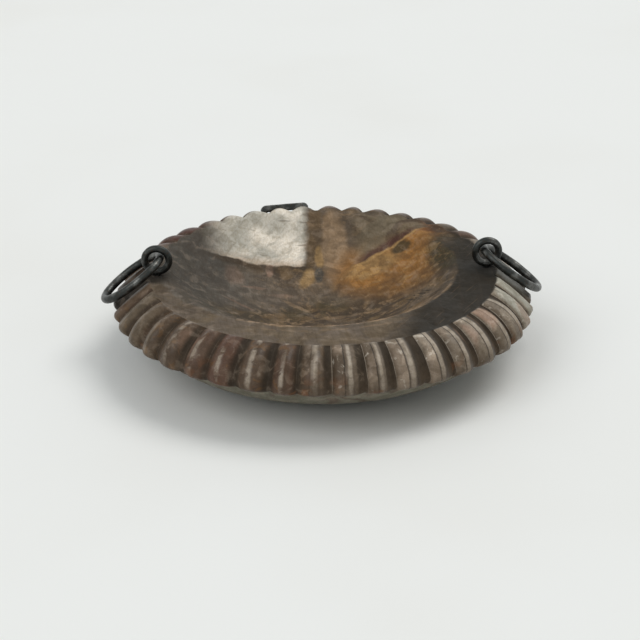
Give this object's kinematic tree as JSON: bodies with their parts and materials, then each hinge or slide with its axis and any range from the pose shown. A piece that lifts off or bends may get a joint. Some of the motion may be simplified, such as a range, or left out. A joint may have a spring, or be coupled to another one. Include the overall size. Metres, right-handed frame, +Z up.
{
  "type": "wooden serving dish",
  "caption": "Round carved wooden serving dish with a fluted rim, an off-centre hollow, iron lifting rings hung in iron eyes, and an iron cramp across the rim.",
  "frame": {"origin": "centre of the flat foot, on the surface that the dish stands on", "axes": "+Z up out of the well, +X from the left ring towards the right ring, -Y towards the viewer"},
  "size_m": [0.4217, 0.3998, 0.1102],
  "materials": {
    "carved_wood": "hand-carved, waxed and worn, with stains, bleached patches and a soft sheen",
    "forged_iron": "forged, oiled near-black, soft sheen with faint rust"
  },
  "bodies": {
    "dish": {"dish_body": "carved_wood", "right_eye": "forged_iron", "left_eye": "forged_iron", "rim_cramp": "forged_iron"},
    "right_ring": {"right_ring": "forged_iron"},
    "left_ring": {"left_ring": "forged_iron"}
  },
  "joints": [
    {"name": "right_ring_swing", "type": "hinge", "parent": "dish", "child": "right_ring", "pos_m": [0.15353, 0.01318, 0.09733], "axis": [0.1736, -0.9848, 0], "range_deg": [0, 235]},
    {"name": "left_ring_swing", "type": "hinge", "parent": "dish", "child": "left_ring", "pos_m": [-0.15394, -0.00695, 0.09723], "axis": [0.0349, 0.9994, 0], "range_deg": [0, 249]}
  ]
}
